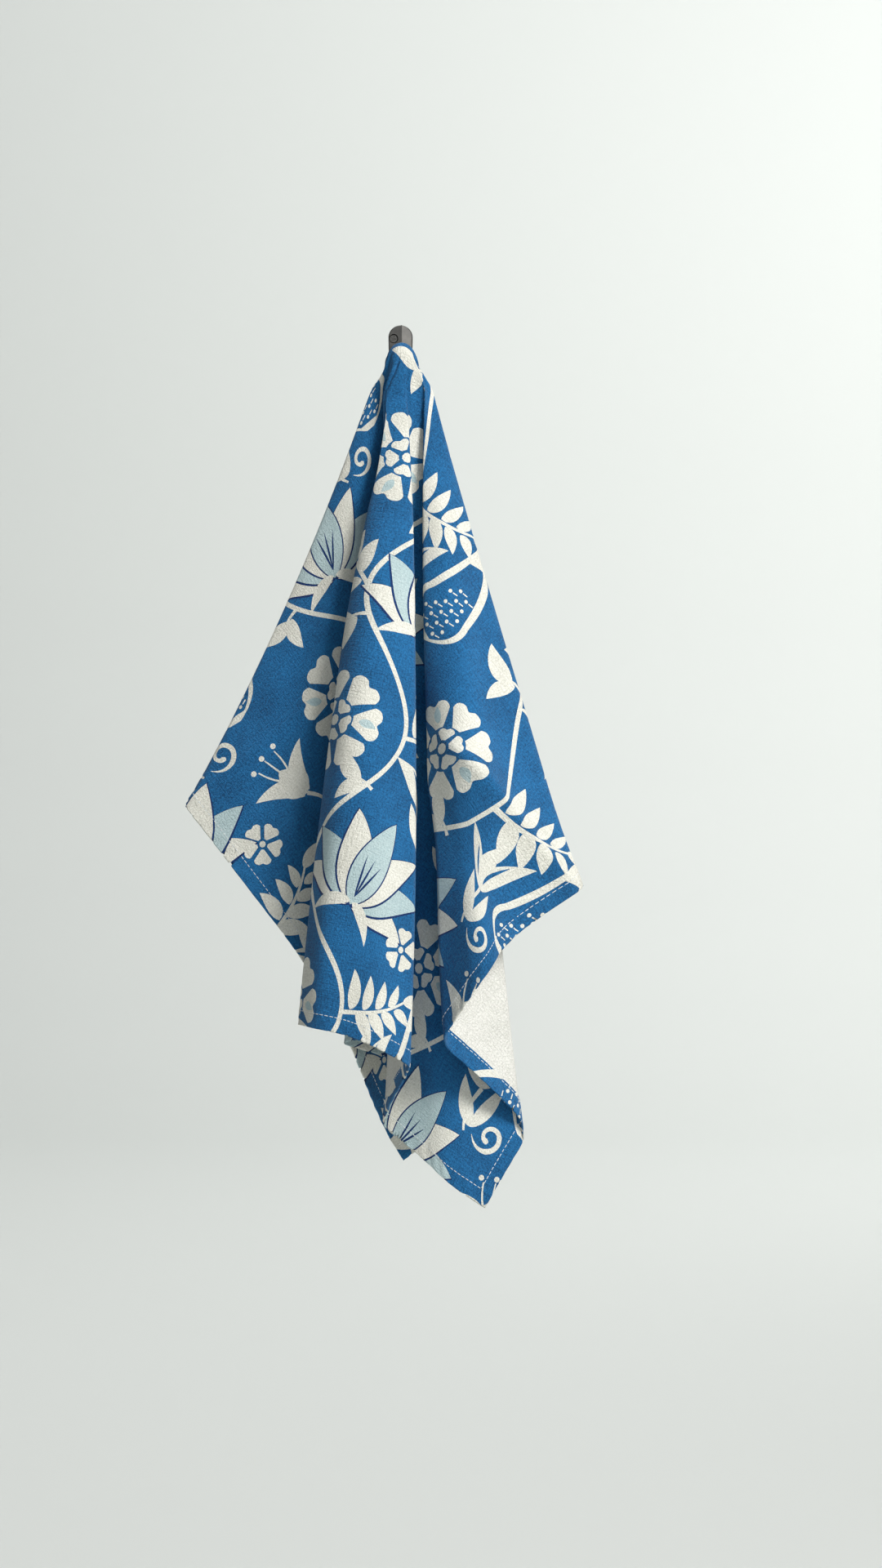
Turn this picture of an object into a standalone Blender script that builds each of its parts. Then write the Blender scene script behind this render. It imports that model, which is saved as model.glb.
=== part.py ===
"""A tea towel hanging by its top hem from a plain wall hook.

Metres, +Z up. The origin is the centre of the hook plate's back, which lies on the wall (the plane
y = 0). The cloth hangs on the -Y side of it, and +X is to the right of someone who faces the wall.

The towel is one flat rectangle of cloth. It hangs from one point near its top edge, so every
straight line drawn on the flat cloth from that point hangs as a long, nearly straight line of its
full length, and the cloth turns from one line to the next. FOLDS says where those lines hang.
"""
import math
from collections import namedtuple

import bmesh
import bpy
import numpy as np
from mathutils import Matrix, Vector

MM = 0.001

# --- the flat cloth, measured from the point where it hangs ---
CUT_LEFT, CUT_RIGHT = 0.327, 0.375      # together the 70 cm length
CUT_DOWN, CUT_UP = 0.493, 0.015         # together the 50 cm width
HEM = 0.0115                            # width of the turned and sewn hem
CLOTH = 0.0010                          # thickness of the sheet
HEM_CLOTH = 0.0015                      # thickness where the hem doubles it
GAP = 0.00035                           # air between pieces that touch

# --- the hook ---
PLATE_WIDE, PLATE_TALL = 0.0175, 0.061
PLATE_FOOT_WIDE = 0.0155                # the plate narrows towards its foot
PLATE_RIM, PLATE_RIDGE = 0.0032, 0.0048  # thickness at the rim and along the ridge
RIDGE_X = 0.0010
ARM_RADIUS = 0.0030
ARM_Z = -0.0215                         # where the arm leaves the plate
ARM_BEND = 0.0070
TIP_X, TIP_Y = 0.0010, -0.0320
PLATE_TOP = PLATE_TALL / 2
HANG = Vector((TIP_X, TIP_Y, PLATE_TOP - 0.0169))   # where the middle of the sheet lies on the tip

# --- the screw ---
SCREW_X, SCREW_Z = -0.0050, HANG.z + 0.0072
HEAD_RADIUS, SHANK_RADIUS = 0.0030, 0.0016
HEAD_DEEP = 0.0016
HEAD_SUNK = 0.0004                      # the head lies this far below the plate's face
SLOT_LONG, SLOT_WIDE, SLOT_DEEP = 0.0034, 0.0007, 0.0008
SLOT_TURN = 0.3                         # radians the cross is turned

# --- how the cloth hangs ---
# angle: degrees round the flat cloth, from straight down, to the right
# soft:  half the length of cloth over which a fold is rounded, mm
# neck, mid, low: (right of the wall's origin, out from the wall) in mm, at three lengths of cloth
NECK, MID, LOW = 0.045, 0.250, 0.500
Fold = namedtuple("Fold", "name angle soft neck mid low")
FOLDS = (
    Fold("back, left end",    -180,    8, (0, 23),   (0, 20),    (0, 16)),
    Fold("left wing, end",     -95,    8, (-8, 24),  (2, 16),    (16, 12)),
    Fold("left wing, middle",  -80,   16, (-16, 21), (-50, 13),  (-104, 10)),
    Fold("left tip",           -62.6,  6, (-22, 28), (-100, 38), (-214, 48)),
    Fold("left panel, crown",  -45.5, 30, (-16, 38), (-37, 61),  (-63, 81)),
    Fold("left corner",        -34,   10, (-11, 33), (-8, 21),   (-4, 12)),
    Fold("pleat 1, going in",  -26.6,  4, (-8, 29),  (29, 15),   (63, 6)),
    Fold("pleat 1, coming out", -25.4, 4, (-7, 31),  (29, 20),   (63, 14)),
    Fold("pleat 2",            -11.5,  6, (-12, 38), (-26, 47),  (-42, 54)),
    Fold("pleat 3",             -6,    6, (-8, 42),  (-8, 61),   (-13, 78)),
    Fold("centre fold, left",    4,    7, (-9, 45),  (-40, 77),  (-68, 110)),
    Fold("centre fold, front",  11,   20, (-1, 50),  (-15, 104), (-31, 146)),
    Fold("centre fold, right",  18,    4, (6, 46),   (12, 85),   (9, 122)),
    Fold("inner valley",        28,    7, (5, 39),   (-1, 39),   (-11, 40)),
    Fold("inner panel",         34.7, 16, (11, 39),  (20, 48),   (30, 59)),
    Fold("right fold, in",      40.7,  4, (18, 36),  (48, 33),   (80, 38)),
    Fold("right fold, out",     41.9,  4, (18, 38),  (48, 39),   (80, 47)),
    Fold("right roll",          48.3,  7, (14, 42),  (15, 62),   (29, 92)),
    Fold("right panel, crown",  55,   20, (17, 43),  (38, 85),   (66, 131)),
    Fold("right tip",           66,    6, (25, 31),  (82, 42),   (150, 60)),
    Fold("right wing, middle",  81,   16, (15, 21),  (34, 11),   (62, 7)),
    Fold("right wing, end",     95,    8, (7, 23),   (-24, 8),   (-56, 5)),
    Fold("back, right end",    180,    8, (0, 23),   (0, 20),    (0, 16)),
)
FOLD_ANGLE = np.array([f.angle for f in FOLDS])
SOFT_MOST = 40.0                        # degrees; no fold is rounded more widely than this
CAP_WIDE, CAP_DEEP = 0.0115, 0.0088     # half sizes of the round cap over the hook's tip
CAP_END = 0.012                         # the folds start to show this far from the tip
STEEPEST = 0.2                          # least share of a line's length that goes downwards

# --- how finely the sheet is cut into faces ---
RULING_STEPS = 90
BODY_ROWS = 16
FIRST_ROW = 0.002                       # length of cloth from the tip to the first row
FOLD_STEPS = (-1, -0.4, 0.4, 1)         # columns across each fold, in widths of its rounding
STRIP_ANGLES = (102, 110, 120, 135, 157)


# ---------------------------------------------------------------- scene helpers

def clear_scene():
    for ob in list(bpy.data.objects):
        bpy.data.objects.remove(ob, do_unlink=True)


def collection(name):
    coll = bpy.data.collections.new(name)
    bpy.context.scene.collection.children.link(coll)
    return coll


def material(name, colour, roughness, metallic=0.0):
    mat = bpy.data.materials.new(name)
    mat.use_nodes = True
    shader = mat.node_tree.nodes["Principled BSDF"]
    shader.inputs["Base Color"].default_value = (*colour, 1.0)
    shader.inputs["Roughness"].default_value = roughness
    shader.inputs["Metallic"].default_value = metallic
    return mat


def add_object(name, bm, coll, mat=None):
    bmesh.ops.recalc_face_normals(bm, faces=bm.faces)
    mesh = bpy.data.meshes.new(name)
    bm.to_mesh(mesh)
    bm.free()
    ob = bpy.data.objects.new(name, mesh)
    coll.objects.link(ob)
    if mat:
        mesh.materials.append(mat)
        mesh.shade_smooth()
    else:
        ob.hide_render = True
        ob.display_type = "WIRE"
    return ob


def boolean(ob, tool, operation):
    mod = ob.modifiers.new(operation.title() + " " + tool.name, "BOOLEAN")
    mod.solver = "EXACT"
    mod.operation = operation
    mod.object = tool


# ---------------------------------------------------------------- the cloth

def to_edge(angle, inset=0.0):
    """Length of cloth from the hanging point to the cut edge, in one direction on the flat cloth."""
    right, down = math.sin(math.radians(angle)), math.cos(math.radians(angle))
    across = (CUT_RIGHT if right > 0 else CUT_LEFT) - inset
    along = (CUT_DOWN if down > 0 else CUT_UP) - inset
    return min(across / max(abs(right), 1e-9), along / max(abs(down), 1e-9))


def smoothstep(x):
    x = min(max(x, 0.0), 1.0)
    return x * x * (3 - 2 * x)


def level_weights(length):
    """Weights of the neck, mid and low columns of FOLDS at this length of cloth from the tip."""
    return np.array([
        (length - MID) * (length - LOW) / ((NECK - MID) * (NECK - LOW)),
        (length - NECK) * (length - LOW) / ((MID - NECK) * (MID - LOW)),
        (length - NECK) * (length - MID) / ((LOW - NECK) * (LOW - MID))])


def fold_points(length):
    """Where each fold's corner lies at this length of cloth: rows of (x, y) in metres."""
    table = np.array([(f.neck, f.mid, f.low) for f in FOLDS]) * MM
    points = np.einsum("flc,l->fc", table, level_weights(length))
    return points * (1, -1)


def rounded_path(angle, length):
    """The (x, y) of the cloth at one angle and length: straight from fold to fold, each rounded."""
    points = fold_points(length)
    slopes = np.diff(points, axis=0) / np.diff(FOLD_ANGLE)[:, None]
    place = points[0] + slopes[0] * (angle - FOLD_ANGLE[0])
    for k in range(1, len(FOLDS) - 1):
        soft = min(math.degrees(FOLDS[k].soft * MM / max(length, 0.004)), SOFT_MOST)
        past = angle - FOLD_ANGLE[k]
        turned = (past + soft) ** 2 / (4 * soft) if abs(past) < soft else max(past, 0.0)
        place = place + (slopes[k] - slopes[k - 1]) * turned
    return place


def cloth_xy(angle, length):
    """The cloth's (x, y): a round cap over the hook's tip, which turns into the folds."""
    turn = math.radians(angle)
    cap = np.array((HANG.x + CAP_WIDE * math.tanh(length / CAP_WIDE) * math.sin(turn),
                    HANG.y - CAP_DEEP * math.tanh(length / CAP_DEEP) * math.cos(turn)))
    blend = smoothstep((length - CAP_END) / (NECK - CAP_END))
    return cap * (1 - blend) + rounded_path(angle, length) * blend


def ruling(angle, lengths):
    """Points along one line of cloth. Its height follows from its length, which doesn't stretch."""
    steps = np.linspace(0.0, 1.0, RULING_STEPS) ** 1.5 * max(lengths)
    xy = np.array([cloth_xy(angle, s) for s in steps])
    run, aside = np.diff(steps), np.linalg.norm(np.diff(xy, axis=0), axis=1)
    drop = np.sqrt(np.maximum(run ** 2 - aside ** 2, (STEEPEST * run) ** 2))
    z = HANG.z - np.concatenate([[0.0], np.cumsum(drop)])
    return np.stack([np.interp(lengths, steps, c) for c in (xy[:, 0], xy[:, 1], z)], axis=1)


def column_angles():
    """Angles of the sheet's columns: across every fold, at the four corners and round the back."""
    angles = {-180.0}
    for fold in FOLDS[1:-1]:
        soft = math.degrees(fold.soft * MM / 0.35)
        angles.update(fold.angle + soft * step for step in FOLD_STEPS)
    for left, down in ((1, CUT_DOWN), (-1, CUT_DOWN), (1, -CUT_UP), (-1, -CUT_UP)):
        wide = CUT_LEFT if left > 0 else CUT_RIGHT
        angles.add(-left * math.degrees(math.atan2(wide, down)))
    angles.update(s * a for s in (-1, 1) for a in STRIP_ANGLES)
    ordered = sorted(angles)
    spread = ordered[:1]
    for angle in ordered[1:]:
        count = max(1, round((angle - spread[-1]) / 4.0)) if abs(angle) < 95 else 1
        start = spread[-1]
        spread += [start + (angle - start) * (k + 1) / count for k in range(count)]
    return spread


def towel():
    """One closed sheet: a front and a back layer of vertices, joined along the cut edge."""
    angles = column_angles()
    lines, halves = [], []
    for angle in angles:
        body, edge = to_edge(angle, HEM), to_edge(angle)
        power = max(1.0, math.log(FIRST_ROW / body) / math.log(1 / BODY_ROWS))
        lengths = [body * ((j + 1) / BODY_ROWS) ** power for j in range(BODY_ROWS)]
        step = (edge - body) * 0.15
        lengths += [body + step, edge]
        lines.append(ruling(angle, np.array([0.0] + lengths))[1:])
        halves.append([CLOTH / 2] * BODY_ROWS + [HEM_CLOTH / 2] * 2)
    middle, half = np.array(lines), np.array(halves)[:, :, None]

    round_ = np.roll(middle, -1, axis=0) - np.roll(middle, 1, axis=0)
    along = np.gradient(middle, axis=1)
    normal = np.cross(along, round_)
    normal /= np.linalg.norm(normal, axis=2, keepdims=True)

    bm = bmesh.new()
    up = Vector((0, 0, CLOTH / 2))
    layers = []
    for side in (1, -1):
        tip = bm.verts.new(HANG + up * side)
        grid = [[bm.verts.new(p) for p in column] for column in middle + normal * half * side]
        layers.append((tip, grid))
    count, rows = middle.shape[:2]
    for tip, grid in layers:
        for i in range(count):
            left, right = grid[i], grid[(i + 1) % count]
            bm.faces.new((tip, left[0], right[0]))
            for j in range(rows - 1):
                bm.faces.new((left[j], left[j + 1], right[j + 1], right[j]))
    front, back = layers[0][1], layers[1][1]
    for i in range(count):
        k = (i + 1) % count
        bm.faces.new((front[i][-1], front[k][-1], back[k][-1], back[i][-1]))
    bmesh.ops.triangulate(bm, faces=[f for f in bm.faces if len(f.verts) == 4])
    return bm


# ---------------------------------------------------------------- the hook and its screw

def plate_outline(shrink=0.0):
    """Corner points of the plate seen from the front: a round top, and sides that taper down."""
    top_radius = PLATE_WIDE / 2 - shrink
    foot = PLATE_FOOT_WIDE / 2 - shrink
    shoulder, bottom = PLATE_TOP - PLATE_WIDE / 2, -PLATE_TOP + shrink
    arch = [(top_radius * math.cos(t), shoulder + top_radius * math.sin(t))
            for t in np.linspace(0, math.pi, 25)]
    corner = 0.003
    turns = [(-1, math.pi), (1, math.pi * 1.5)]
    feet = [(side * (foot - corner) + corner * math.cos(start + t),
             bottom + corner + corner * math.sin(start + t))
            for side, start in turns for t in np.linspace(0, math.pi / 2, 6)]
    return arch + feet


def plate_face(x):
    """How far the plate's front stands from the wall: a low ridge with a slope on either side."""
    reach = PLATE_WIDE / 2 + abs(RIDGE_X)
    return PLATE_RIDGE - (PLATE_RIDGE - PLATE_RIM) * min(abs(x - RIDGE_X) / reach, 1.0)


def plate():
    bm = bmesh.new()
    back = [bm.verts.new((x, 0, z)) for x, z in plate_outline()]
    base = bm.faces.new(back)
    side = bmesh.ops.extrude_face_region(bm, geom=[base])["geom"]
    face = next(g for g in side if isinstance(g, bmesh.types.BMFace))
    bmesh.ops.translate(bm, verts=face.verts, vec=(0, -PLATE_RIM + 0.0008, 0))
    bmesh.ops.inset_region(bm, faces=[face], thickness=0.0008, use_even_offset=True)
    bmesh.ops.bisect_plane(bm, geom=list(bm.verts) + list(bm.edges) + [face],
                           plane_co=(RIDGE_X, 0, 0), plane_no=(1, 0, 0))
    rim = -PLATE_RIM + 0.0008
    inner = {v for f in bm.faces for v in f.verts
             if abs(v.co.y - rim) < 1e-6 and all(abs(w.co.y - rim) < 1e-6 or w.co.y < rim
                                                 for e in v.link_edges for w in e.verts)}
    for v in inner:
        v.co.y = -plate_face(v.co.x)
    return bm


def arm():
    """A round bar out of the plate that turns up and ends in a ball, swept along its centre line."""
    bend = (HANG.x, TIP_Y + ARM_BEND, ARM_Z + ARM_BEND)
    path = [(Vector((HANG.x, -0.001, ARM_Z)), Vector((0, -1, 0)))]
    for t in np.linspace(0, math.pi / 2, 9):
        centre = Vector(bend) + ARM_BEND * Vector((0, -math.sin(t), -math.cos(t)))
        path.append((centre, Vector((0, -math.cos(t), math.sin(t)))))
    top = HANG.z - CLOTH / 2 - GAP
    ball = top - ARM_RADIUS
    rings = [(p, d, ARM_RADIUS) for p, d in path]
    for t in np.linspace(0, math.pi / 2, 8)[:-1]:
        rings.append((Vector((TIP_X, TIP_Y, ball + ARM_RADIUS * math.sin(t))), Vector((0, 0, 1)),
                      ARM_RADIUS * math.cos(t)))
    bm = bmesh.new()
    sides, loops = 24, []
    for centre, forward, radius in rings:
        across = Vector((1, 0, 0))
        other = forward.cross(across)
        loops.append([bm.verts.new(centre + radius * (math.cos(a) * across + math.sin(a) * other))
                      for a in np.linspace(0, 2 * math.pi, sides, endpoint=False)])
    for low, high in zip(loops, loops[1:]):
        for i in range(sides):
            k = (i + 1) % sides
            bm.faces.new((low[i], low[k], high[k], high[i]))
    bm.faces.new(loops[0])
    crown = bm.verts.new((TIP_X, TIP_Y, top))
    for i in range(sides):
        bm.faces.new((loops[-1][i], loops[-1][(i + 1) % sides], crown))
    return bm


def turned(profile, sides=32):
    """A solid turned on the screw's axis. profile: (radius, distance out from the wall)."""
    bm = bmesh.new()
    verts = [bm.verts.new((SCREW_X + r, -y, SCREW_Z)) for r, y in profile]
    edges = [bm.edges.new(pair) for pair in zip(verts, verts[1:])]
    bmesh.ops.spin(bm, geom=verts + edges, axis=(0, 1, 0), cent=(SCREW_X, 0, SCREW_Z),
                   angle=2 * math.pi, steps=sides, use_merge=True)
    bmesh.ops.remove_doubles(bm, verts=bm.verts, dist=1e-7)
    return bm


def screw_top():
    return plate_face(SCREW_X + HEAD_RADIUS) - 0.0006 - HEAD_SUNK


def screw():
    top = screw_top()
    return turned([(0, top), (HEAD_RADIUS - 0.0004, top), (HEAD_RADIUS, top - 0.0003),
                   (SHANK_RADIUS, top - HEAD_DEEP), (SHANK_RADIUS, 0.0), (0, 0.0)])


def screw_seat():
    """The hole for the screw: its own shape with a gap all round, and open at both ends."""
    top = screw_top()
    wide, narrow = HEAD_RADIUS + GAP, SHANK_RADIUS + GAP
    return turned([(0, 0.01), (wide, 0.01), (wide, top - 0.0003), (narrow, top - HEAD_DEEP - GAP),
                   (narrow, -0.001), (0, -0.001)])


def slot(turn):
    """One bar of the cross that the driver fits, turned about the screw's axis."""
    bm = bmesh.new()
    place = (Matrix.Translation((SCREW_X, -screw_top(), SCREW_Z)) @ Matrix.Rotation(turn, 4, "Y")
             @ Matrix.Diagonal((SLOT_LONG, 2 * SLOT_DEEP, SLOT_WIDE, 1)))
    bmesh.ops.create_cube(bm, size=1.0, matrix=place)
    return bm


# ---------------------------------------------------------------- build

def main():
    clear_scene()
    parts, tools = collection("Tea towel on a wall hook"), collection("Cutters")
    cotton = material("cotton", (0.05, 0.17, 0.42), 0.9)
    gunmetal = material("gunmetal", (0.13, 0.13, 0.14), 0.4, 1.0)
    steel = material("screw steel", (0.35, 0.35, 0.36), 0.35, 1.0)

    add_object("towel", towel(), parts, cotton)
    hook = add_object("hook", plate(), parts, gunmetal)
    boolean(hook, add_object("arm", arm(), tools), "UNION")
    boolean(hook, add_object("screw seat", screw_seat(), tools), "DIFFERENCE")
    head = add_object("screw", screw(), parts, steel)
    for name, turn in (("slot", SLOT_TURN), ("cross slot", SLOT_TURN + math.pi / 2)):
        boolean(head, add_object(name, slot(turn), tools), "DIFFERENCE")


main()
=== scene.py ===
"""A printed cotton tea towel, hung near one long edge from a plain wall hook.

The towel is one sheet of cloth: a printed face with its hems turned to the back, and an unprinted
back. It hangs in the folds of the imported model. Its print is a repeat of ordinary flowers and
leaves, and each colour of it is its own set of faces, so its edges are as sharp as a printed one's.

All sizes are in metres unless a name or a table says millimetres. The wall's face is y = 0, +X is
right, +Z is up, and the towel hangs towards -Y.
"""
import math
from collections import namedtuple

import bmesh
import bpy
import numpy as np
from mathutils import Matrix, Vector
from mathutils.geometry import delaunay_2d_cdt


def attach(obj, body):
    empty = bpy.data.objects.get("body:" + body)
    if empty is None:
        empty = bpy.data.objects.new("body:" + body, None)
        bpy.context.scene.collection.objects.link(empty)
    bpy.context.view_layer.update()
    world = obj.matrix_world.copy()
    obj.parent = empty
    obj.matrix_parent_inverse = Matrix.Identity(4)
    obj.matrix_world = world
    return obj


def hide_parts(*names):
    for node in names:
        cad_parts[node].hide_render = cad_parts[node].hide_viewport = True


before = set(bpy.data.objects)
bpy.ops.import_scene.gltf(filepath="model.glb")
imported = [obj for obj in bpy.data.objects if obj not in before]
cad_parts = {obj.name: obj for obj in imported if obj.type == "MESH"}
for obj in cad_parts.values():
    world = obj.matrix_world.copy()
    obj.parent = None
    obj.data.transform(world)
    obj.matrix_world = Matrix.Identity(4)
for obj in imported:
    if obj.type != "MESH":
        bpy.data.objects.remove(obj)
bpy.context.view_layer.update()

MM = 0.001

# ---------------------------------------------------------------- the towel's sizes

CUT_LEFT, CUT_RIGHT = 0.327, 0.375      # flat cloth from the hanging point to each side edge
CUT_DOWN, CUT_UP = 0.493, 0.015         # and to the bottom and top edges
HEM = 0.0115                            # width of the turned hem
HALF_CLOTH = 0.00035                    # half the cloth's thickness
HEM_BACK = 0.00105                      # how far behind mid cloth the hem's back lies
EDGE_ROUND = 0.0008                     # reach of the rounding at the hem's folded edge
STITCH_LINE = 0.0100                    # from the edge to the row of stitches

HANG = Vector((0.001, -0.032, 0.0136))  # mid cloth, on top of the hook's tip

# Where the cloth's folds run. Each is a straight line of cloth from the hanging point; `angle` is
# its direction on the flat cloth, from straight down, to the right. `neck`, `mid` and `low` are
# (right, out from the wall) in mm at 45, 250 and 500 mm of cloth from the hanging point.
Fold = namedtuple("Fold", "name angle soft neck mid low")
NECK, MID, LOW = 0.045, 0.250, 0.500
FOLDS = (
    Fold("back, left end",     -180,   8, (0, 23),   (0, 20),    (0, 16)),
    Fold("left wing, end",      -95,   8, (-8, 24),  (2, 16),    (16, 12)),
    Fold("left wing, middle",   -80,  16, (-16, 21), (-50, 13),  (-104, 10)),
    Fold("left tip",           -62.6,  6, (-22, 28), (-100, 38), (-214, 48)),
    Fold("left panel, crown",  -45.5, 30, (-16, 38), (-37, 61),  (-63, 81)),
    Fold("left corner",        -34,   10, (-11, 33), (-8, 21),   (-4, 12)),
    Fold("pleat 1, going in",  -26.6,  4, (-8, 29),  (29, 15),   (63, 6)),
    Fold("pleat 1, coming out", -25.4, 4, (-7, 31),  (29, 20),   (63, 14)),
    Fold("pleat 2",            -11.5,  6, (-12, 38), (-26, 47),  (-42, 54)),
    Fold("pleat 3",             -6,    6, (-8, 42),  (-8, 61),   (-13, 78)),
    Fold("centre fold, left",    4,    7, (-9, 45),  (-40, 77),  (-68, 110)),
    Fold("centre fold, front",  11,   30, (-1, 50),  (-15, 104), (-31, 146)),
    Fold("centre fold, right",  18,    4, (6, 46),   (12, 85),   (9, 122)),
    Fold("inner valley",        28,    7, (5, 39),   (-1, 39),   (-11, 40)),
    Fold("inner panel",         34.7, 16, (11, 39),  (20, 48),   (30, 59)),
    Fold("right fold, in",      40.7,  4, (18, 36),  (48, 33),   (80, 38)),
    Fold("right fold, out",     41.9,  4, (18, 38),  (48, 39),   (80, 47)),
    Fold("right roll",          48.3,  7, (14, 42),  (15, 62),   (29, 92)),
    Fold("right panel, crown",  55,   20, (17, 43),  (38, 85),   (66, 131)),
    Fold("right tip",           66,    6, (25, 31),  (82, 42),   (150, 60)),
    Fold("right wing, middle",  81,   16, (15, 21),  (34, 11),   (62, 7)),
    Fold("right wing, end",     95,    8, (7, 23),   (-24, 8),   (-56, 5)),
    Fold("back, right end",    180,    8, (0, 23),   (0, 20),    (0, 16)),
)
FOLD_ANGLE = np.array([f.angle for f in FOLDS])
TIGHT_FOLDS = [f for f in FOLDS if f.soft <= 4]
SOFT_MOST = 40.0                        # degrees; no fold is rounded more widely than this
CAP_WIDE, CAP_DEEP = 0.0115, 0.0088     # half sizes of the round cap over the hook's tip
CAP_END = 0.012                         # the folds start to show this far from the tip
STEEPEST = 0.2                          # least share of a line's length that goes downwards
LONGEST = 0.64                          # further than any cloth is from the hanging point

# Ridges (+) and troughs (-) on top of the folds, each along a straight line of the flat cloth: its
# two ends as (right, up) in mm from the hanging point, its width and height in mm, and how rounded
# its crest is, as a share of its width. Each dies out over CREASE_FADE of its length at both ends.
Crease = namedtuple("Crease", "name start end wide high crest")
CREASES = (
    Crease("pressed fold, right",   (215, -179), (410, -173), 14, 13.0, 0.2),
    Crease("hollow below it",       (236, -210), (560, -222), 24, -14.0, 0.6),
    Crease("pressed fold, left",    (-60, -172), (-420, -168), 12, 2.4, 0.2),
    Crease("centre fold, shoulder", (8, -59),    (99, -753),  14, 8.0, 1.0),
    Crease("gather, far left",      (-6, -7),    (-44, -52),  3.0, -1.0, 0.8),
    Crease("gather ridge, left",    (-3, -6),    (-20, -66),  3.2, 1.4, 0.8),
    Crease("gather, left of centre", (0, -10),   (-4, -44),   3.2, -1.4, 0.8),
    Crease("gather ridge, centre",  (1, -10),    (9, -60),    3.4, 0.9, 0.8),
    Crease("gather, right of centre", (4, -8),   (24, -56),   3.0, -1.2, 0.8),
)
CREASE_FADE = 0.25
PRESSED_CREASES = CREASES[:3]           # sharp enough to need rows of points of their own

# Ripples that run down the cloth from the hook: waves a turn, height as a share of the distance
# from the hook, and how the wave leans and starts.
Ripple = namedtuple("Ripple", "waves high lean start")
RIPPLES = (
    Ripple(31, 0.0016, 9, 0.4),
    Ripple(53, 0.0010, -14, 2.1),
    Ripple(17, 0.0022, 6, 4.0),
)
RIPPLES_GROW = (0.03, 0.18)             # over this stretch from the hook

# Small uneven pleats where the cloth bunches below the hook.
GATHERS, GATHER_SWAY, GATHER_LEAN, GATHER_HIGH = 17, 1.6, 12, 0.0007
GATHERS_GROW, GATHERS_FADE = (0.007, 0.021), (0.130, 0.040)
GATHERS_CLEAR = 9                       # degrees that they keep from a tight fold

# Straight below the hook, behind the centre fold's left edge, the cloth lies too tightly for
# creases: over how many degrees, and between which distances from the hook.
TIGHT_WALL = 7
TIGHT_WALL_GROW, TIGHT_WALL_FADE = (0.035, 0.050), (0.130, 0.090)

# Puckers of the sewn hems: their length and height, how far in from the edge they reach, and how
# slowly their length varies along the hem.
PUCKER_LONG, PUCKER_HIGH, PUCKER_REACH, PUCKER_BEAT = 0.0145, 0.0003, 0.020, 0.19

# ---------------------------------------------------------------- the hanging cloth


def ramp(x, start, end):
    """A soft step from 0 at the start to 1 at the end."""
    x = np.clip((x - start) / (end - start), 0.0, 1.0)
    return x * x * (3 - 2 * x)


def unit(rows):
    """Rows scaled to length 1."""
    return rows / np.maximum(np.linalg.norm(rows, axis=1, keepdims=True), 1e-12)


def cloth_xy(angle, length):
    """x and y of the cloth in arrays of directions (degrees) and lengths from the tip. A fold's
    line is a quadratic through its three places, and the cloth between two folds is flat."""
    weights = np.array([
        (length - MID) * (length - LOW) / ((NECK - MID) * (NECK - LOW)),
        (length - NECK) * (length - LOW) / ((MID - NECK) * (MID - LOW)),
        (length - NECK) * (length - MID) / ((LOW - NECK) * (LOW - MID))])
    table = np.array([(f.neck, f.mid, f.low) for f in FOLDS]) * MM * (1, -1)
    corners = np.einsum("flc,l...->fc...", table, weights)
    gaps = np.diff(FOLD_ANGLE).reshape((-1,) + (1,) * (corners.ndim - 1))
    slopes = np.diff(corners, axis=0) / gaps
    place = corners[0] + slopes[0] * (angle - FOLD_ANGLE[0])
    for k in range(1, len(FOLDS) - 1):
        soft = np.minimum(np.degrees(FOLDS[k].soft * MM / np.maximum(length, 0.004)), SOFT_MOST)
        past = angle - FOLD_ANGLE[k]
        turned = np.where(np.abs(past) < soft, (past + soft) ** 2 / (4 * soft), np.maximum(past, 0))
        place = place + (slopes[k] - slopes[k - 1]) * turned
    turn = np.radians(angle)
    cap = np.array((HANG.x + CAP_WIDE * np.tanh(length / CAP_WIDE) * np.sin(turn),
                    HANG.y - CAP_DEEP * np.tanh(length / CAP_DEEP) * np.cos(turn)))
    blend = ramp(length, CAP_END, NECK)
    return cap * (1 - blend) + place * blend


def beyond_edges(flat):
    """How far flat points lie beyond the left, right, bottom and top edges."""
    return np.stack([-CUT_LEFT - flat[:, 0], flat[:, 0] - CUT_RIGHT,
                     -CUT_DOWN - flat[:, 1], flat[:, 1] - CUT_UP], axis=1)


def beside(crease, flat):
    """Where flat points lie along a crease, as a share of its length, and how far off it."""
    a, b = (np.array(p) * MM for p in (crease.start, crease.end))
    way = (b - a) / np.linalg.norm(b - a)
    return (flat - a) @ way / np.linalg.norm(b - a), (flat - a) @ np.array((-way[1], way[0]))


def ripples(turn, length):
    """How far the ripples lift the cloth, at a direction in radians and a length from the tip."""
    lift = np.zeros(len(turn))
    for ripple in RIPPLES:
        wave = np.sin(turn * ripple.waves + length * ripple.lean + ripple.start)
        lift += ripple.high * length * wave
    return lift * ramp(length, *RIPPLES_GROW)


def gathers(turn, length):
    """How far the pleats below the hook lift the cloth."""
    pleats = np.sin(turn * GATHERS + GATHER_SWAY * np.sin(turn * 5 + 1) + length * GATHER_LEAN)
    for fold in TIGHT_FOLDS:
        pleats *= 1 - np.exp(-((np.degrees(turn) - fold.angle) / GATHERS_CLEAR) ** 2)
    return GATHER_HIGH * pleats * ramp(length, *GATHERS_GROW) * ramp(length, *GATHERS_FADE)


def puckers(flat):
    """How far the sewn hems' puckers lift the cloth."""
    near_hem = ramp(beyond_edges(flat).max(axis=1), -PUCKER_REACH, 0)
    along = flat.sum(axis=1) * 2 * np.pi / PUCKER_LONG
    return PUCKER_HIGH * near_hem * np.sin(along + 2 * np.sin(along * PUCKER_BEAT))


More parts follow.
